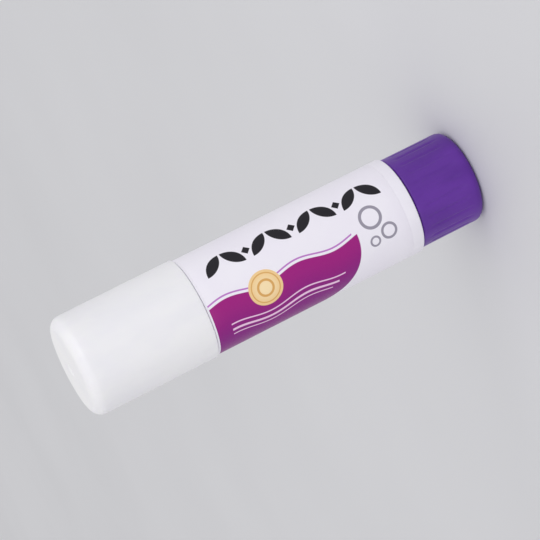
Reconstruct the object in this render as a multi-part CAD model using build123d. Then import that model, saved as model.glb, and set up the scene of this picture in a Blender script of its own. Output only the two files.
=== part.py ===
from build123d import *
import os
from math import atan, ceil, cos, degrees, floor, pi, radians, sin, sqrt

# Twist-up glue stick, closed and standing on its twist knob. The stick's axis is Z, the
# knob's base is at height 0 and the middle of the print faces -Y.
# All sizes are in millimetres.

# Overall sizes
stick_length = 84.0
body_diameter = 19.4
cap_length = 25.5

# Running and seating clearances
running_clearance = 0.08
knob_gap = 0.3
thrust_gap = 0.15
seat_gap = 0.1
moulded_gap = 0.05
press_gap = 0.02
cut_overrun = 1.0

# Facets that a rounded corner is drawn with
corner_steps = 3

# Cap
cap_wall = 0.95
cap_end_wall = 1.3
cap_corner = 2.2
cap_lead_in = 0.3
cap_gate_diameter = 2.4
cap_gate_depth = 0.35

# Barrel
neck_length = 8.0
neck_step = 0.95
neck_wall = 0.75
neck_edge = 0.2
snap_bead_height = 0.22
snap_bead_width = 1.2
snap_bead_place = 3.0
snap_groove_depth = 0.12
barrel_floor = 1.6

# Wrap label, flush in a shallow recess of the barrel
label_thickness = 0.12
label_glue_line = 0.02
label_bare_rim = 2.4
label_lip = 0.4
label_seam_width = 0.3
label_seam_angle = 90.0

# Guide ribs along the bore, which keep the carrier and the glue from turning
guide_rib_count = 4
guide_rib_height = 0.45
guide_rib_width = 0.9
guide_rib_clearance = 0.15
guide_rib_stop = 1.2
guide_rib_angle = 45.0

# Twist knob
knob_diameter = 18.4
knob_length = 13.6
knob_wall = 1.3
knob_base = 1.6
knob_corner = 1.6
knob_foot_width = 3.0
knob_dish = 0.35
knob_web_count = 4
knob_web_thickness = 0.9
knob_web_drop = 3.0
flute_count = 24
flute_depth = 0.2
flute_side = 0.6
flute_margin = 1.6
hub_step = 1.0
snap_head_catch = 0.55
snap_head_height = 1.25
snap_head_land = 0.5

# Socket of the knob and the square root of the lead screw pressed into it
root_side = 4.6
root_length = 11.0
socket_wall = 0.75
socket_relief = 0.4
root_chamfer = 0.4

# Lead screw, whose thread stands in ledges on two opposite sides
lead = 5.0
ledges_per_turn = 2
screw_core_radius = 2.2
thread_height = 1.1
thread_root_width = 2.2
thread_crest_width = 1.2
thread_root_sink = 0.3
screw_ledge_sweep = 84.0
collar_height = 1.1
collar_inset = 0.2
thread_start_gap = 0.4
screw_tip_chamfer = 0.6

# Carrier with its nut thread
carrier_clearance = 0.1
carrier_gap = 0.4
carrier_wall = 0.8
carrier_floor = 1.2
carrier_skirt = 2.0
carrier_cup = 5.8
carrier_lip = 1.2
carrier_relief = 0.2
nut_wall = 1.1
nut_root_width = 1.9
nut_crest_width = 1.1
nut_ledge_sweep = 120.0
nut_ledge_count = 2
nut_radial_clearance = 0.2

# Glue
glue_clearance = 0.15
glue_recess = 2.4
glue_edge = 0.6
glue_tip = 2.9
core_clearance = 0.25
core_headroom = 0.6

# Radii that follow
body_radius = body_diameter / 2
neck_radius = body_radius - neck_step
bore_radius = neck_radius - neck_wall
snap_bead_radius = neck_radius + snap_bead_height
cap_bore_radius = snap_bead_radius + running_clearance
cap_rim_radius = cap_bore_radius + cap_wall
knob_radius = knob_diameter / 2
knob_cup_radius = knob_radius - knob_wall
socket_side = root_side + 2 * press_gap
stem_radius = socket_side / sqrt(2) + socket_wall
hole_radius = stem_radius + running_clearance
hub_radius = stem_radius + hub_step
snap_head_radius = stem_radius + snap_head_catch
collar_radius = snap_head_radius - collar_inset
thread_radius = screw_core_radius + thread_height
nut_bore_radius = thread_radius + nut_radial_clearance
nut_crest_radius = screw_core_radius + nut_radial_clearance
nut_radius = nut_bore_radius + nut_wall
carrier_radius = bore_radius - carrier_clearance
cup_radius = carrier_radius - carrier_wall
glue_radius = bore_radius - glue_clearance
core_radius = thread_radius + core_clearance

# Heights that follow, from the knob's base
barrel_low = knob_length + knob_gap
floor_top = barrel_low + barrel_floor
hub_top = barrel_low - thrust_gap
snap_head_low = floor_top + thrust_gap
snap_head_top = snap_head_low + snap_head_height
collar_top = snap_head_top + collar_height
carrier_low = collar_top + carrier_gap
cup_floor = carrier_low + carrier_skirt + carrier_floor
carrier_top = cup_floor + carrier_cup
ledge_step = lead / ledges_per_turn
ledge_turn = 360 / ledges_per_turn
screw_ledge_half_height = (thread_root_width + lead * screw_ledge_sweep / 360) / 2
nut_ledge_half_height = (nut_root_width + lead * nut_ledge_sweep / 360) / 2
nut_ledge_middle = carrier_low + nut_ledge_half_height
nut_top = nut_ledge_middle + (nut_ledge_count - 1) * ledge_step + nut_ledge_half_height
cap_low = stick_length - cap_length
shoulder = cap_low - seat_gap
mouth = shoulder + neck_length
label_low = barrel_low + label_bare_rim
label_high = shoulder - label_lip
glue_top = mouth - glue_recess
core_top = glue_top - glue_tip
screw_top = core_top - core_headroom
ceiling = stick_length - cap_end_wall


def turned(outline):
    """Solid of revolution about the stick's axis, from (radius, height) points."""
    return revolve(Plane.XZ * make_face(Polyline(*outline, close=True)), axis=Axis.Z)


def rounded_corner(radius, height, size, rise):
    """Points of a rounded corner, from the end face to the wall: rise is 1 above and -1 below."""
    turns = [radians(90 * step / corner_steps) for step in range(corner_steps + 1)]
    return [(radius - size + size * sin(turn), height - rise * size * (1 - cos(turn))) for turn in turns]


def rod(radius, low, high):
    """Round bar on the axis between two heights."""
    return Pos(0, 0, low) * Cylinder(radius, high - low, align=(Align.CENTER, Align.CENTER, Align.MIN))


def square_bar(side, low, high):
    """Square bar on the axis between two heights."""
    return Pos(0, 0, low) * Box(side, side, high - low, align=(Align.CENTER, Align.CENTER, Align.MIN))


def radial_bars(count, width, inner, outer, low, high, first_angle=0.0):
    """Bars of equal width, each reaching from one radius to another, around the axis."""
    bar = Pos(inner, 0, low) * Box(
        outer - inner, width, high - low, align=(Align.MIN, Align.CENTER, Align.MIN)
    )
    return [Rot(0, 0, first_angle + 360 * turn / count) * bar for turn in range(count)]


def guide_bars(clearance, low, high):
    """The guide ribs, or the slots that run over them with a clearance all round."""
    return radial_bars(
        guide_rib_count,
        guide_rib_width + 2 * clearance,
        bore_radius - guide_rib_height - clearance,
        bore_radius + neck_wall / 2,
        low,
        high,
        guide_rib_angle,
    )


def lead_angle(radius):
    """Slope of the thread at a radius."""
    return degrees(atan(lead / (2 * pi * radius)))


def ledge_outline(root, crest, root_width, crest_width):
    """Tapered section of the thread at +X, drawn in the XZ plane about height 0."""
    return Plane.XZ * make_face(
        Polyline(
            (root, -root_width / 2),
            (crest, -crest_width / 2),
            (crest, crest_width / 2),
            (root, root_width / 2),
            close=True,
        )
    )


def thread_ledges(ledge, places, middle, first_angle=0.0):
    """Copies of a ledge up the left-handed thread, each a step higher and part of a turn on."""
    return [
        Pos(0, 0, middle + place * ledge_step) * Rot(0, 0, first_angle - place * ledge_turn) * ledge
        for place in places
    ]


def make_cap():
    """Push-on cap: cup with a rounded end, a snap groove, a lead-in and a gate recess."""
    snap_middle = shoulder + snap_bead_place
    end_corner = rounded_corner(cap_rim_radius, stick_length, cap_corner, 1)
    outline = [
        (0, stick_length),
        *end_corner,
        (cap_rim_radius, cap_low),
        (cap_bore_radius + cap_lead_in, cap_low),
        (cap_bore_radius, cap_low + cap_lead_in),
        (cap_bore_radius, snap_middle - snap_bead_width / 2),
        (cap_bore_radius + snap_groove_depth, snap_middle),
        (cap_bore_radius, snap_middle + snap_bead_width / 2),
        (cap_bore_radius, ceiling),
        (0, ceiling),
    ]
    gate_low = stick_length - cap_gate_depth
    gate = rod(cap_gate_diameter / 2, gate_low, stick_length + cut_overrun)
    return turned(outline) - gate


def make_barrel():
    """Barrel: floor with the knob's bearing hole, label recess, shoulder, neck and snap bead."""
    label_seat = body_radius - label_thickness - label_glue_line
    bead_middle = shoulder + snap_bead_place
    outline = [
        (hole_radius, barrel_low),
        (body_radius, barrel_low),
        (body_radius, label_low),
        (label_seat, label_low),
        (label_seat, label_high),
        (body_radius, label_high),
        (body_radius, shoulder),
        (neck_radius, shoulder),
        (neck_radius, bead_middle - snap_bead_width / 2),
        (snap_bead_radius, bead_middle),
        (neck_radius, bead_middle + snap_bead_width / 2),
        (neck_radius, mouth - neck_edge),
        (neck_radius - neck_edge, mouth),
        (bore_radius, mouth),
        (bore_radius, floor_top),
        (hole_radius, floor_top),
    ]
    ribs = guide_bars(0, floor_top - barrel_floor / 2, mouth - guide_rib_stop)
    return turned(outline) + ribs


def make_wrap_label():
    """Thin printed sleeve in the barrel's recess, with a butt seam on the hidden side."""
    inner = body_radius - label_thickness
    seam = radial_bars(
        1,
        label_seam_width,
        inner - cut_overrun,
        body_radius + cut_overrun,
        label_low - cut_overrun,
        label_high + cut_overrun,
        label_seam_angle,
    )
    return rod(body_radius, label_low, label_high) - rod(inner, label_low, label_high) - seam


def make_twist_knob():
    """Cup-shaped knob: fluted wall, webs, hub with square socket and snap head."""
    outline = [
        (0, knob_dish),
        (knob_radius - knob_foot_width - knob_dish, knob_dish),
        (knob_radius - knob_foot_width, 0),
        *rounded_corner(knob_radius, 0, knob_corner, -1),
        (knob_radius, knob_length),
        (knob_cup_radius, knob_length),
        (knob_cup_radius, knob_base),
        (hub_radius, knob_base),
        (hub_radius, hub_top),
        (stem_radius, hub_top),
        (stem_radius, snap_head_low),
        (snap_head_radius, snap_head_low),
        (snap_head_radius, snap_head_low + snap_head_land),
        (stem_radius, snap_head_top),
        (0, snap_head_top),
    ]
    web_top = knob_length - knob_web_drop
    webs = radial_bars(
        knob_web_count,
        knob_web_thickness,
        hub_radius - knob_wall / 2,
        knob_cup_radius + knob_wall / 2,
        knob_base / 2,
        web_top,
    )
    flute_low = knob_corner + flute_margin
    flute_high = knob_length - flute_margin
    flute_axis = knob_radius - flute_depth + flute_side / sqrt(2)
    cutter = Pos(flute_axis, 0, 0) * Rot(0, 0, 45) * square_bar(flute_side, flute_low, flute_high)
    flutes = [Rot(0, 0, 360 * turn / flute_count) * cutter for turn in range(flute_count)]
    socket_low = snap_head_top - root_length - socket_relief
    socket = square_bar(socket_side, socket_low, snap_head_top + cut_overrun)
    return turned(outline) + webs - flutes - socket


def make_lead_screw():
    """Spindle: square root, collar, and a coarse left-handed thread in two rows of ledges.

    Each ledge is straight and tapers towards the side, as a two-part mould leaves it, and
    stands half a lead from the nut's, so the two stay in mesh.
    """
    root_low = snap_head_top - root_length
    lowest = collar_top + thread_start_gap + screw_ledge_half_height
    highest = screw_top - screw_tip_chamfer - screw_ledge_half_height
    first_place = ceil((lowest - nut_ledge_middle) / ledge_step)
    last_place = floor((highest - nut_ledge_middle) / ledge_step)
    section = ledge_outline(
        screw_core_radius - thread_root_sink, thread_radius, thread_root_width, thread_crest_width
    )
    ledge_reach = thread_radius * sin(radians(screw_ledge_sweep / 2))
    straight = Rot(-lead_angle(thread_radius), 0, 0) * extrude(section, ledge_reach, both=True)
    ledge = straight & rod(thread_radius, -lead, lead)
    places = range(first_place, last_place + 1)
    ledges = thread_ledges(ledge, places, nut_ledge_middle, ledge_turn)
    root = square_bar(root_side, root_low, snap_head_top)
    root = chamfer(root.faces().sort_by(Axis.Z)[0].edges(), root_chamfer)
    shaft = rod(screw_core_radius, snap_head_top, screw_top)
    shaft = chamfer(shaft.faces().sort_by(Axis.Z)[-1].edges(), screw_tip_chamfer)
    collar = rod(collar_radius, snap_head_top, collar_top)
    return shaft + ledges + collar + root


def make_carrier():
    """Piston that lifts the glue: lipped wall, cup, nut with its thread, guide slots."""
    outline = [
        (nut_bore_radius, carrier_low),
        (nut_radius, carrier_low),
        (nut_radius, cup_floor - carrier_floor),
        (cup_radius, cup_floor - carrier_floor),
        (cup_radius, carrier_low),
        (carrier_radius - carrier_relief, carrier_low),
        (carrier_radius - carrier_relief, carrier_top - carrier_lip - carrier_relief),
        (carrier_radius, carrier_top - carrier_lip),
        (carrier_radius, carrier_top),
        (cup_radius, carrier_top),
        (cup_radius, cup_floor),
        (nut_radius, cup_floor),
        (nut_radius, nut_top),
        (nut_bore_radius, nut_top),
    ]
    section = ledge_outline(
        nut_bore_radius + thread_root_sink, nut_crest_radius, nut_root_width, nut_crest_width
    )
    ring = revolve(Rot(0, 0, -nut_ledge_sweep / 2) * section, Axis.Z, nut_ledge_sweep)
    ledge = Rot(-lead_angle(nut_bore_radius), 0, 0) * ring
    ledges = thread_ledges(ledge, range(nut_ledge_count), nut_ledge_middle)
    slots = guide_bars(guide_rib_clearance, carrier_low - cut_overrun, carrier_top + cut_overrun)
    return turned(outline) + ledges - slots


def make_glue():
    """Cast glue: cylinder in the carrier's cup, cored for the screw, closed at the tip."""
    cup_fit = cup_radius - moulded_gap
    nut_fit = nut_radius + moulded_gap
    outline = [
        (nut_fit, cup_floor),
        (cup_fit, cup_floor),
        (cup_fit, carrier_top + moulded_gap),
        (glue_radius, carrier_top + moulded_gap),
        (glue_radius, glue_top - glue_edge),
        (glue_radius - glue_edge, glue_top),
        (0, glue_top),
        (0, core_top),
        (core_radius, core_top),
        (core_radius, nut_top + moulded_gap),
        (nut_fit, nut_top + moulded_gap),
    ]
    slots = guide_bars(guide_rib_clearance, carrier_top - cut_overrun, glue_top + cut_overrun)
    return turned(outline) - slots


pieces = {
    "cap": make_cap(),
    "barrel": make_barrel(),
    "wrap_label": make_wrap_label(),
    "twist_knob": make_twist_knob(),
    "lead_screw": make_lead_screw(),
    "carrier": make_carrier(),
    "glue": make_glue(),
}

os.makedirs("parts", exist_ok=True)
for name, piece in pieces.items():
    export_step(piece, f"parts/{name}.step")

headroom = ceiling - glue_top
print(f"Headroom over the glue with the cap on {headroom:.2f} mm")
print(f"Travel of the carrier to the mouth {mouth - carrier_top:.2f} mm at {lead:.2f} mm a turn")
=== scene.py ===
"""Looks of the twist-up glue stick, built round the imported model, in metres."""
from math import atan2, cos, pi, radians, sin, tan

import bmesh
import bpy
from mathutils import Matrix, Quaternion, Vector


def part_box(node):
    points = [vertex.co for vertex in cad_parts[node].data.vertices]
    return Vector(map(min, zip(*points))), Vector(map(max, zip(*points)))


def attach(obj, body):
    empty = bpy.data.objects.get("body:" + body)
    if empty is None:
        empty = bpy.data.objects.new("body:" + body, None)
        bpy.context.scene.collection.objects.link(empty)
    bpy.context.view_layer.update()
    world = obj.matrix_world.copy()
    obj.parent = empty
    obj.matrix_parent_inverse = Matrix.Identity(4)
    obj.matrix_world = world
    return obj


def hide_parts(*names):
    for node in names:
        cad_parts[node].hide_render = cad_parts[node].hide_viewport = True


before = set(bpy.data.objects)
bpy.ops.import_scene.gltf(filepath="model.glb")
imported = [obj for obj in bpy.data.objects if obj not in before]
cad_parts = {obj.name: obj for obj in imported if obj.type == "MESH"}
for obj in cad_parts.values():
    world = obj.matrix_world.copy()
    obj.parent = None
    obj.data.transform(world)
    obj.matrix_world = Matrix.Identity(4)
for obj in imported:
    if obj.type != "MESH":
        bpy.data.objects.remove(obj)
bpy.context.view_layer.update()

mm = 0.001


def heights_of(node):
    """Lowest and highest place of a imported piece."""
    low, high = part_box(node)
    return low.z, high.z


def radius_of(node):
    """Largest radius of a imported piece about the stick's axis."""
    low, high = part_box(node)
    return (high.x - low.x) / 2


# Places along the stick's axis and radii about it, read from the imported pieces
cap_low, stick_length = heights_of("cap")
barrel_base, mouth = heights_of("barrel")
label_low, label_high = heights_of("wrap_label")
head_top = heights_of("twist_knob")[1]
glue_low, glue_top = heights_of("glue")
carrier_top = heights_of("carrier")[1]
cap_radius = radius_of("cap")
body_radius = radius_of("barrel")
knob_radius = radius_of("twist_knob")
glue_radius = radius_of("glue")

# The camera's place about the stick's middle, and its turn about its own line of sight
camera_azimuth = 0.0
camera_elevation = 13.9
camera_roll = -116.7
camera_distance = 450 * mm
camera_lens = 160
camera_near = 10 * mm

# Roundings of edges that several pieces share
crisp = 0.05 * mm
fine = 0.1 * mm
soft = 0.2 * mm

# Sizes of the cap
cap_end_wall = 1.3 * mm
cap_corner = 2.2 * mm
cap_ceiling_corner = 0.8 * mm
cap_lead_in = 0.3 * mm
cap_rim_inside = 0.08 * mm
cap_rim_outside = 0.25 * mm
snap_groove = 0.12 * mm
gate_radius = 1.1 * mm
gate_depth = 0.15 * mm
gate_flare = 0.15 * mm

# Sizes of the barrel
base_edge = 0.3 * mm
shoulder_edge = 0.12 * mm
neck_length = 8.0 * mm
neck_step = 0.95 * mm
neck_wall = 0.75 * mm
mouth_edge = 0.25 * mm
bead_place = 3.0 * mm
bead_height = 0.22 * mm
bead_width = 1.2 * mm
bead_gap = 0.08 * mm
floor_height = 1.6 * mm
floor_corner = 0.3 * mm
hole_radius = 4.11 * mm
rib_count = 4
rib_height = 0.45 * mm
rib_width = 0.9 * mm
rib_gap = 0.15 * mm
rib_stop = 1.2 * mm
rib_slope = 0.3 * mm
rib_angle = radians(45)

# Sizes of the label and of its seat in the barrel
label_film = 0.12 * mm
label_recess = 0.14 * mm
label_edge = 0.04 * mm
lap_width = 2.2 * mm
lap_rise = 0.06 * mm

# Sizes of the knob
knob_length = 13.6 * mm
knob_wall = 1.3 * mm
knob_base = 1.6 * mm
knob_corner = 1.6 * mm
knob_rim = 0.35 * mm
knob_inner_corner = 0.4 * mm
knob_dish = 0.35 * mm
dish_corner = 0.4 * mm
knob_foot = 3.0 * mm
foot_edge = 0.3 * mm
flute_count = 24
flute_depth = 0.15 * mm
flute_half_width = 0.4 * mm
flute_margin = 1.6 * mm
flute_end = 0.35 * mm
hub_radius = 5.03 * mm
stem_radius = 4.03 * mm
head_radius = 4.58 * mm
head_height = 1.25 * mm
head_rim = 0.5 * mm
socket_radius = 3.28 * mm
socket_depth = 11.4 * mm
thrust_gap = 0.15 * mm

# Sizes of the glue
cup_radius = 7.05 * mm
nut_radius = 4.65 * mm
nut_top = 24.5 * mm
core_radius = 3.55 * mm
core_top = 61.1 * mm
glue_edge = 0.7 * mm
glue_crown = 0.25 * mm

# How meshes are closed and shaded, and the distance within which two radii count as one
weld_distance = 0.00001 * mm
sharp_angle = radians(40)
tiny = 0.001 * mm

neck_radius = body_radius - neck_step
bore_radius = neck_radius - neck_wall
shoulder = mouth - neck_length
bead_middle = shoulder + bead_place
floor_top = barrel_base + floor_height
middle = Vector((0, 0, stick_length / 2))


def soften(corners, steps=6):
    """Outline of (height, radius, fillet) corners with each one rounded to its fillet."""
    points = []
    for index, (height, radius, fillet) in enumerate(corners):
        here = Vector((height, radius))
        if fillet == 0:
            points.append(here)
            continue
        before = (Vector(corners[index - 1][:2]) - here).normalized()
        after = (Vector(corners[(index + 1) % len(corners)][:2]) - here).normalized()
        half = before.angle(after) / 2
        centre = here + (before + after).normalized() * fillet / sin(half)
        start = here + before * fillet / tan(half) - centre
        end = here + after * fillet / tan(half) - centre
        first = atan2(start.y, start.x)
        swept = (atan2(end.y, end.x) - first + pi) % (2 * pi) - pi
        for step in range(steps + 1):
            angle = first + swept * step / steps
            points.append(centre + Vector((cos(angle), sin(angle))) * fillet)
    return points


def spaced(points, longest):
    """The same outline with its long runs divided, so that a pattern can be pressed in."""
    result = []
    for index, here in enumerate(points):
        there = points[(index + 1) % len(points)]
        pieces = max(1, round((there - here).length / longest))
        result += [here.lerp(there, piece / pieces) for piece in range(pieces)]
    return result


def around(angle, height, radius):
    """Point at an angle about the axis, counted from -Y towards +X."""
    return Vector((sin(angle) * radius, -cos(angle) * radius, height))


def lathe(name, points, turns, longest_run, pressed=None):
    """Closed outline turned about the stick's axis; pressed(angle, height, radius) reshapes it."""
    outline = spaced(points, longest_run)
    mesh = bmesh.new()
    rings = []
    for turn in range(turns):
        angle = 2 * pi * turn / turns
        ring = []
        for height, radius in outline:
            shaped = pressed(angle, height, radius) if pressed else radius
            ring.append(mesh.verts.new(around(angle, height, shaped)))
        rings.append(ring)
    for turn, here in enumerate(rings):
        there = rings[(turn + 1) % turns]
        for index, point in enumerate(outline):
            following = (index + 1) % len(outline)
            on_axis = point[1] == 0 and outline[following][1] == 0
            if not on_axis:
                mesh.faces.new((here[index], here[following], there[following], there[index]))
    bmesh.ops.remove_doubles(mesh, verts=mesh.verts, dist=weld_distance)
    bmesh.ops.recalc_face_normals(mesh, faces=mesh.faces)
    return shaded(name, mesh)


def shaded(name, mesh):
    """Object from a bmesh, smooth but for its true edges."""
    data = bpy.data.meshes.new(name)
    mesh.to_mesh(data)
    mesh.free()
    data.polygons.foreach_set("use_smooth", [True] * len(data.polygons))
    data.set_sharp_from_angle(angle=sharp_angle)
    piece = bpy.data.objects.new(name, data)
    bpy.context.scene.collection.objects.link(piece)
    weighted = piece.modifiers.new("weighted_normals", "WEIGHTED_NORMAL")
    weighted.keep_sharp = True
    return piece


def off_middle(angle, count):
    """Angle from a place to the nearest of some features spaced evenly about the axis."""
    step = 2 * pi / count
    return abs((angle + step / 2) % step - step / 2)


def off_rib(angle, radius):
    """Distance across from a place to the middle of the nearest guide rib."""
    return off_middle(angle - rib_angle, rib_count) * radius


def make_cap():
    """Cap shell with its rounded end, soft rim, snap groove and gate mark."""
    bore = neck_radius + bead_height + bead_gap
    ceiling = stick_length - cap_end_wall
    corners = [
        (cap_low, bore + cap_lead_in, cap_rim_inside),
        (cap_low, cap_radius, cap_rim_outside),
        (stick_length, cap_radius, cap_corner),
        (stick_length, gate_radius + gate_flare, fine),
        (stick_length - gate_depth, gate_radius, fine),
        (stick_length - gate_depth, 0, 0),
        (ceiling, 0, 0),
        (ceiling, bore, cap_ceiling_corner),
        (bead_middle + bead_width / 2, bore, crisp),
        (bead_middle, bore + snap_groove, fine),
        (bead_middle - bead_width / 2, bore, crisp),
        (cap_low + cap_lead_in, bore, crisp),
    ]
    return lathe("cap_shell", soften(corners, steps=8), turns=256, longest_run=1.5 * mm)


def make_barrel():
    """Barrel with label seat, neck, snap bead, and the guide ribs in its bore."""
    seat = body_radius - label_recess
    rib_end = mouth - rib_stop
    corners = [
        (barrel_base, hole_radius, fine),
        (barrel_base, body_radius, base_edge),
        (label_low, body_radius, label_edge),
        (label_low, seat, 0),
        (label_high, seat, 0),
        (label_high, body_radius, label_edge),
        (shoulder, body_radius, shoulder_edge),
        (shoulder, neck_radius, fine),
        (bead_middle - bead_width / 2, neck_radius, fine),
        (bead_middle, neck_radius + bead_height, soft),
        (bead_middle + bead_width / 2, neck_radius, fine),
        (mouth, neck_radius, mouth_edge),
        (mouth, bore_radius, soft),
        (rib_end, bore_radius, 0),
        (rib_end - rib_slope, bore_radius, 0),
        (floor_top, bore_radius, floor_corner),
        (floor_top, hole_radius, fine),
    ]

    def ribbed(angle, height, radius):
        on_bore = abs(radius - bore_radius) < tiny and floor_top < height < rib_end - rib_slope / 2
        if on_bore and off_rib(angle, radius) < rib_width / 2:
            return radius - rib_height
        return radius

    return lathe("barrel_tube", soften(corners), turns=360, longest_run=3 * mm, pressed=ribbed)


def make_label():
    """Printed film in the barrel's recess, lapped over itself on the hidden side."""
    inner = body_radius - label_film
    corners = [
        (label_low, inner, 0),
        (label_low, body_radius, label_edge),
        (label_high, body_radius, label_edge),
        (label_high, inner, 0),
    ]

    def lapped(angle, height, radius):
        on_lap = radius > inner + label_film / 2 and 0 < (angle - pi) * radius < lap_width
        return radius + lap_rise if on_lap else radius

    return lathe("label_film", soften(corners, steps=3), turns=360, longest_run=2 * mm, pressed=lapped)


def make_knob():
    """Knob with its fluted grip, rounded foot, dished base, and the hub behind it."""
    inner_radius = knob_radius - knob_wall
    foot_radius = knob_radius - knob_foot
    hub_top = barrel_base - thrust_gap
    head_low = head_top - head_height
    corners = [
        (knob_dish, 0, 0),
        (knob_dish, foot_radius - knob_dish, dish_corner),
        (0, foot_radius, foot_edge),
        (0, knob_radius, knob_corner),
        (knob_length, knob_radius, knob_rim),
        (knob_length, inner_radius, soft),
        (knob_base, inner_radius, knob_inner_corner),
        (knob_base, hub_radius, knob_inner_corner),
        (hub_top, hub_radius, soft),
        (hub_top, stem_radius, 0),
        (head_low, stem_radius, 0),
        (head_low, head_radius, crisp),
        (head_low + head_rim, head_radius, fine),
        (head_top, stem_radius, fine),
        (head_top, socket_radius, 0),
        (head_top - socket_depth, socket_radius, 0),
        (head_top - socket_depth, 0, 0),
    ]
    flute_low = knob_corner + flute_margin
    flute_high = knob_length - flute_margin

    def fluted(angle, height, radius):
        if radius < knob_radius - tiny:
            return radius
        across = off_middle(angle, flute_count) * radius / flute_half_width
        inside = min(height - flute_low, flute_high - height) / flute_end
        press = max(0, min(1, inside)) * max(0, 1 - across * across)
        return radius - flute_depth * press

    return lathe("knob_shell", soften(corners), turns=384, longest_run=0.6 * mm, pressed=fluted)


def make_glue():
    """Cast glue with the guide ribs' grooves along it and a softly crowned tip."""
    groove_radius = bore_radius - rib_height - rib_gap
    corners = [
        (glue_low, nut_radius, 0),
        (glue_low, cup_radius, 0),
        (carrier_top, cup_radius, 0),
        (carrier_top, glue_radius, 0),
        (glue_top - glue_crown, glue_radius, glue_edge),
        (glue_top, 0, 0),
        (core_top, 0, 0),
        (core_top, core_radius, 0),
        (nut_top, core_radius, 0),
        (nut_top, nut_radius, 0),
    ]

    def grooved(angle, height, radius):
        if height < carrier_top or off_rib(angle, glue_radius) > rib_width / 2 + rib_gap:
            return radius
        return min(radius, groove_radius)

    outline = soften(corners, steps=8)
    return lathe("glue_block", outline, turns=360, longest_run=1.2 * mm, pressed=grooved)


def linear(red, green, blue):
    """Colour for a shader, by the sRGB curve, from the 0 to 255 values that a picture shows."""
    shares = [value / 255 for value in (red, green, blue)]
    return tuple(s / 12.92 if s <= 0.04045 else ((s + 0.055) / 1.055) ** 2.4 for s in shares) + (1.0,)


# Inks of the print, and the colour of the painted shadow line along the label's lap
magenta = linear(155, 14, 122)
plum = linear(130, 18, 126)
lilac = linear(186, 120, 196)
pale = linear(236, 198, 228)
black = linear(24, 21, 29)
grey = linear(150, 146, 160)
straw = linear(246, 222, 176)
gold = linear(238, 202, 144)
amber = linear(216, 164, 92)
# Painted shadow: grey-lilac standing in for the shade along the lap's edge
painted_lap_shadow = linear(198, 193, 208)

# Places and sizes of the print, in millimetres along and up from the middle of the label's upper edge
ink_edge = 0.05
wave_length = 15.0
wave_height = 0.6
band_top = -1.6
band_depth = 19.0
band_end = 31.5
band_fade = 9.0
stripe_rise = 0.65
stripe_width = 0.32
stripe_end = band_end - 1.0
garland_start = 4.6
garland_height = 5.6
garland_pitch = 9.6
garland_pairs = 4
leaf_pitch = 4.2
leaf_half = 1.9
diamond_radius = 0.9
disc_place = (11.5, -2.6)
disc_radius = 3.4
disc_light = 0.5
# Width of the painted shadow line along the lap's edge
lap_shadow_width = 0.12

# Each pale line in the band: depth under its edge, width, start and end
band_lines = ((5.2, 0.3, 3.0, 27.0), (6.5, 0.5, 3.0, 25.5), (7.6, 0.25, 3.0, 24.0))

# Each ring on the gold disc: radius and width
disc_rings = ((2.8, 0.22), (1.5, 0.45))

# Each grey ring past the band: centre, radius and width
grey_rings = (((35.2, 0.4), 2.0, 0.6), ((37.6, -3.4), 1.4, 0.5), ((34.4, -4.2), 0.9, 0.4))

# Depths of the plastics' sink marks and grain, and of the label's waviness
sink_depth = 0.03 * mm
grain_depth = 0.003 * mm
label_waviness = 0.02 * mm

# How far light goes in the translucent plastic and the glue, by colour
milky = (1.2 * mm, 1.1 * mm, 1.3 * mm)


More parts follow.
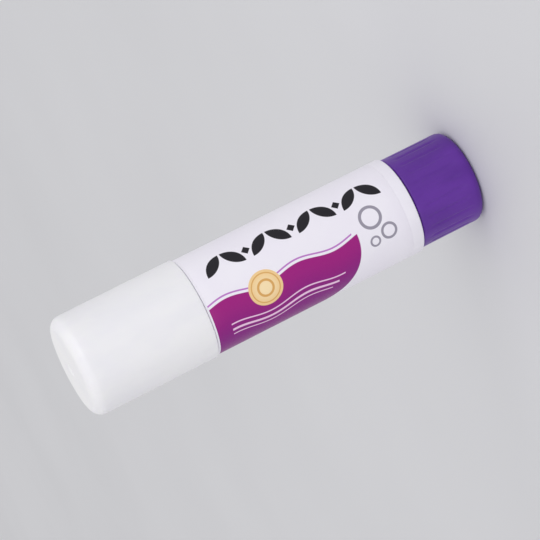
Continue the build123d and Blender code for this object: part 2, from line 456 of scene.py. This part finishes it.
class Graph:
    """A material's node tree, with short calls for the nodes used here."""

    def __init__(self, name, **shader_values):
        self.material = bpy.data.materials.new(name)
        self.material.use_nodes = True
        self.tree = self.material.node_tree
        self.shader = self.tree.nodes["Principled BSDF"]
        for key, value in shader_values.items():
            self.shader.inputs[key.replace("_", " ")].default_value = value

    def add(self, kind, values=(), **settings):
        """New node with its settings, and its inputs fed from (input, value) pairs or a dict."""
        made = self.tree.nodes.new(kind)
        for key, value in settings.items():
            setattr(made, key, value)
        for key, value in dict(values).items():
            self.feed(made.inputs[key], value)
        return made

    def feed(self, socket, value):
        """Links another node's output to an input, or sets a plain value there."""
        if isinstance(value, bpy.types.NodeSocket):
            self.tree.links.new(value, socket)
        else:
            socket.default_value = value

    def math(self, operation, *values):
        return self.add("ShaderNodeMath", enumerate(values), operation=operation).outputs[0]

    def plus(self, first, second):
        return self.math("ADD", first, second)

    def minus(self, first, second):
        return self.math("SUBTRACT", first, second)

    def times(self, first, second):
        return self.math("MULTIPLY", first, second)

    def size(self, value):
        """A value without its sign."""
        return self.math("ABSOLUTE", value)

    def span(self, across, rise):
        """Length of a step across and up."""
        return self.math("SQRT", self.plus(self.times(across, across), self.times(rise, rise)))

    def least(self, first, *others):
        for other in others:
            first = self.math("MINIMUM", first, other)
        return first

    def mix(self, share, first, second):
        made = self.add("ShaderNodeMix", {0: share, 6: first, 7: second}, data_type="RGBA")
        return made.outputs[2]

    def ramp(self, value, low, high, to_low=0.0, to_high=1.0):
        """Smooth change from one value to another while the input goes from low to high."""
        values = {0: value, 1: low, 2: high, 3: to_low, 4: to_high}
        return self.add("ShaderNodeMapRange", values, interpolation_type="SMOOTHSTEP").outputs[0]

    def place(self):
        return self.add("ShaderNodeTexCoord").outputs["Object"]

    def noise(self, scale, detail, stretch=(1, 1, 1)):
        """Noise with about so many waves a metre."""
        scaled = self.add("ShaderNodeMapping", {"Vector": self.place(), "Scale": stretch}).outputs[0]
        values = {"Vector": scaled, "Scale": scale, "Detail": detail}
        return self.add("ShaderNodeTexNoise", values).outputs["Fac"]

    def bump(self, *layers):
        """Bump from (height field, depth in metres) layers, one on another."""
        normal = None
        for field, depth in layers:
            values = {"Height": field, "Distance": depth, "Strength": 1.0}
            if normal is not None:
                values["Normal"] = normal
            normal = self.add("ShaderNodeBump", values).outputs["Normal"]
        self.feed(self.shader.inputs["Normal"], normal)

    def clouded(self, field, low, high, main, shade):
        """Main colour that turns to its shade where a noise rises from low to high."""
        return self.mix(self.ramp(field, low, high), main, shade)

    def colour(self, value):
        self.feed(self.shader.inputs["Base Color"], value)

    def roughness(self, field, low, high):
        """Roughness that follows a noise between two values."""
        self.feed(self.shader.inputs["Roughness"], self.ramp(field, 0.3, 0.7, low, high))


def moulded(name, main, shade, rough, **shader_values):
    """Moulded plastic: a faint cloud of colour, fine spark-finish grain and soft sink marks."""
    graph = Graph(name, **shader_values)
    cloud = graph.noise(scale=180, detail=4.0, stretch=(1, 1, 0.4))
    grain = graph.noise(scale=9000, detail=2.0)
    sink = graph.noise(scale=70, detail=1.0)
    graph.colour(graph.clouded(cloud, 0.35, 0.7, main, shade))
    graph.roughness(grain, rough - 0.05, rough + 0.07)
    graph.bump((sink, sink_depth), (grain, grain_depth))
    return graph.material


def unrolled(graph):
    """Places on the label in millimetres: along from the cap's side, and up from its middle."""
    split = graph.add("ShaderNodeSeparateXYZ", {0: graph.place()}).outputs
    along = graph.times(graph.minus(label_high, split[2]), 1 / mm)
    facing = graph.times(split[1], -1.0)
    up = graph.times(graph.math("ARCTAN2", split[0], facing), body_radius / mm)
    return along, up


class Print:
    """Inks laid one on another over the unrolled label, with every place in millimetres.

    Each shape is the distance inside its edge, which is positive where the ink goes.
    """

    def __init__(self, graph, ground):
        self.graph = graph
        self.along, self.up = unrolled(graph)
        self.colour = ground

    def ink(self, inside, colour):
        """Lays a colour where the distance inside an edge is positive."""
        mask = self.graph.ramp(inside, -ink_edge, ink_edge)
        self.colour = self.graph.mix(mask, self.colour, colour)

    def steps(self, centre):
        """Steps along and up from a centre."""
        return self.graph.minus(self.along, centre[0]), self.graph.minus(self.up, centre[1])

    def between(self, start, end):
        """Stretch of the label's length."""
        return self.graph.least(self.graph.minus(self.along, start), self.graph.minus(end, self.along))

    def line(self, off, width):
        """Line of a width where a distance is zero."""
        return self.graph.minus(width / 2, self.graph.size(off))

    def disc(self, centre, radius):
        return self.graph.minus(radius, self.graph.span(*self.steps(centre)))

    def ring(self, centre, radius, width):
        return self.line(self.graph.minus(self.graph.span(*self.steps(centre)), radius), width)

    def diamond(self, centre, radius):
        across, rise = self.steps(centre)
        return self.graph.minus(radius, self.graph.plus(self.graph.size(across), self.graph.size(rise)))

    def leaf(self, centre, half, lean):
        """Leaf from corner to corner of a square: lean is 1 for rising to the right and -1 for falling."""
        first = self.disc((centre[0] - half, centre[1] + lean * half), 2 * half)
        second = self.disc((centre[0] + half, centre[1] - lean * half), 2 * half)
        return self.graph.least(first, second)


def print_band(sheet):
    """Wavy magenta band from the cap's side, with a lilac stripe over it and pale lines in it."""
    graph = sheet.graph
    wave = graph.times(graph.math("SINE", graph.times(sheet.along, 2 * pi / wave_length)), wave_height)
    below = graph.minus(graph.plus(wave, band_top), sheet.up)
    drop = graph.times(graph.minus(sheet.up, band_top), 1 / band_depth)
    reach = graph.span(graph.times(sheet.along, 1 / band_end), drop)
    band = graph.least(below, graph.times(graph.minus(1.0, reach), band_depth))
    sheet.ink(band, graph.mix(graph.ramp(below, 0.0, band_fade), magenta, plum))
    stripe = sheet.line(graph.plus(below, stripe_rise), stripe_width)
    sheet.ink(graph.least(stripe, graph.minus(stripe_end, sheet.along)), lilac)
    for depth, width, start, end in band_lines:
        line = sheet.line(graph.minus(below, depth), width)
        sheet.ink(graph.least(line, sheet.between(start, end)), pale)


def print_garland(sheet):
    """Row of bold dark leaves along the upper half, in pairs with a small diamond between."""
    for pair in range(garland_pairs):
        start = garland_start + garland_pitch * pair
        for step, lean in ((0, 1), (leaf_pitch, -1)):
            sheet.ink(sheet.leaf((start + step, garland_height), leaf_half, lean), black)
        if pair < garland_pairs - 1:
            gap = start + (leaf_pitch + garland_pitch) / 2
            sheet.ink(sheet.diamond((gap, garland_height), diamond_radius), black)


def print_gold(sheet):
    """Gold disc with two darker rings, on the band's upper edge."""
    graph = sheet.graph
    away = graph.span(*sheet.steps(disc_place))
    metal = graph.mix(graph.ramp(away, disc_light, disc_radius), straw, gold)
    sheet.ink(sheet.disc(disc_place, disc_radius), metal)
    for radius, width in disc_rings:
        sheet.ink(sheet.ring(disc_place, radius, width), amber)


def print_rings(sheet):
    """Cluster of grey rings past the band's end."""
    for centre, radius, width in grey_rings:
        sheet.ink(sheet.ring(centre, radius, width), grey)


def paint_lap_shadow(sheet):
    """Painted shadow: a fine grey line where the film laps over itself at the back, standing in for the
    shade of the lap's edge.
    """
    edge = lap_width / mm - pi * body_radius / mm
    sheet.ink(sheet.line(sheet.graph.minus(sheet.up, edge), lap_shadow_width), painted_lap_shadow)


def label_print():
    """White film with the generic print, and a painted shadow line at the lap, laid on it."""
    graph = Graph("label_print", Roughness=0.36, Specular_IOR_Level=0.3)
    cloud = graph.noise(scale=120, detail=3.0)
    ground = graph.clouded(cloud, 0.3, 0.7, linear(238, 235, 243), linear(236, 232, 242))
    sheet = Print(graph, ground)
    print_band(sheet)
    print_garland(sheet)
    print_gold(sheet)
    print_rings(sheet)
    # Painted shadow along the lap's edge
    paint_lap_shadow(sheet)
    graph.colour(sheet.colour)
    graph.roughness(graph.noise(scale=2500, detail=2.0), 0.3, 0.42)
    graph.bump((graph.noise(scale=90, detail=1.0), label_waviness))
    return graph.material


def finishes():
    """Material of each piece."""
    return {
        "cap_shell": moulded(
            "cap_plastic", linear(239, 238, 241), linear(235, 234, 239), rough=0.34,
            Subsurface_Weight=0.3, Subsurface_Radius=milky, Subsurface_Scale=1.0, IOR=1.49,
        ),
        "barrel_tube": moulded(
            "barrel_plastic", linear(238, 235, 243), linear(234, 231, 240), rough=0.34, IOR=1.49,
        ),
        "knob_shell": moulded(
            "knob_plastic", linear(96, 42, 153), linear(87, 36, 142), rough=0.36,
            Specular_IOR_Level=0.4,
        ),
        "glue_block": moulded(
            "glue_wax", linear(240, 238, 230), linear(231, 228, 218), rough=0.42,
            Subsurface_Weight=0.5, Subsurface_Radius=milky, Subsurface_Scale=1.5, IOR=1.45,
        ),
        "carrier": moulded(
            "carrier_plastic", linear(232, 231, 236), linear(222, 221, 228), rough=0.4, IOR=1.49,
        ),
        "lead_screw": moulded(
            "screw_plastic", linear(234, 233, 236), linear(224, 223, 228), rough=0.38, IOR=1.49,
        ),
        "label_film": label_print(),
    }


def dress():
    """Makes the pieces, gives them their finish, and puts each on the body it moves with."""
    made = [
        (make_cap(), "cap", "cap_body", "cap_plastic"),
        (make_barrel(), "barrel", "barrel_body", "barrel_plastic"),
        (make_label(), "wrap_label", "barrel_body", "label_film"),
        (make_knob(), "twist_knob", "knob_body", "knob_plastic"),
        (make_glue(), "glue", "carrier_body", "glue"),
    ]
    finish = finishes()
    for piece, node, body, slot in made:
        piece.data.materials.append(finish[piece.name])
        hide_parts(node)
        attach(piece, body)
    for node in ("carrier", "lead_screw"):
        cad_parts[node].material_slots[0].material = finish[node]


def make_stage():
    """Plain pale floor just under the stick."""
    half = 4.0
    drop = 0.02 * mm
    mesh = bmesh.new()
    sides = ((-half, -half), (half, -half), (half, half), (-half, half))
    mesh.faces.new([mesh.verts.new((x, y, -drop)) for x, y in sides])
    floor = shaded("floor", mesh)
    graph = Graph("floor_paint", Roughness=0.6)
    cloud = graph.noise(scale=6, detail=3.0)
    graph.colour(graph.clouded(cloud, 0.3, 0.7, linear(214, 214, 218), linear(210, 210, 214)))
    floor.data.materials.append(graph.material)


def make_camera():
    """Camera at the photograph's viewing angle, aimed at the middle of the stick."""
    azimuth = radians(camera_azimuth)
    elevation = radians(camera_elevation)
    back = Vector((sin(azimuth) * cos(elevation), -cos(azimuth) * cos(elevation), sin(elevation)))
    data = bpy.data.cameras.new("camera")
    data.lens = camera_lens
    data.clip_start = camera_near
    camera = bpy.data.objects.new("camera", data)
    camera.location = middle + back * camera_distance
    rolled = Quaternion((0, 0, 1), radians(camera_roll))
    camera.rotation_euler = ((-back).to_track_quat("-Z", "Y") @ rolled).to_euler()
    bpy.context.scene.collection.objects.link(camera)
    bpy.context.scene.camera = camera


def area_light(name, place, size, watts):
    """Soft square lamp aimed at the stick."""
    data = bpy.data.lights.new(name, "AREA")
    data.size = size
    data.energy = watts
    lamp = bpy.data.objects.new(name, data)
    lamp.location = place
    lamp.rotation_euler = (middle - Vector(place)).to_track_quat("-Z", "Y").to_euler()
    bpy.context.scene.collection.objects.link(lamp)


def make_lights():
    """Plain soft studio light: a large key lamp, a fill lamp, and a pale room."""
    area_light("key", place=(0.4, -0.55, 0.4), size=0.6, watts=1.5)
    area_light("fill", place=(-0.45, -0.6, 0.2), size=0.6, watts=0.85)
    world = bpy.data.worlds.new("room")
    world.use_nodes = True
    room = world.node_tree.nodes["Background"].inputs
    room["Color"].default_value = (1, 1, 1, 1)
    room["Strength"].default_value = 0.82
    bpy.context.scene.world = world


dress()
make_stage()
make_camera()
make_lights()
bpy.context.scene.view_settings.view_transform = "Standard"
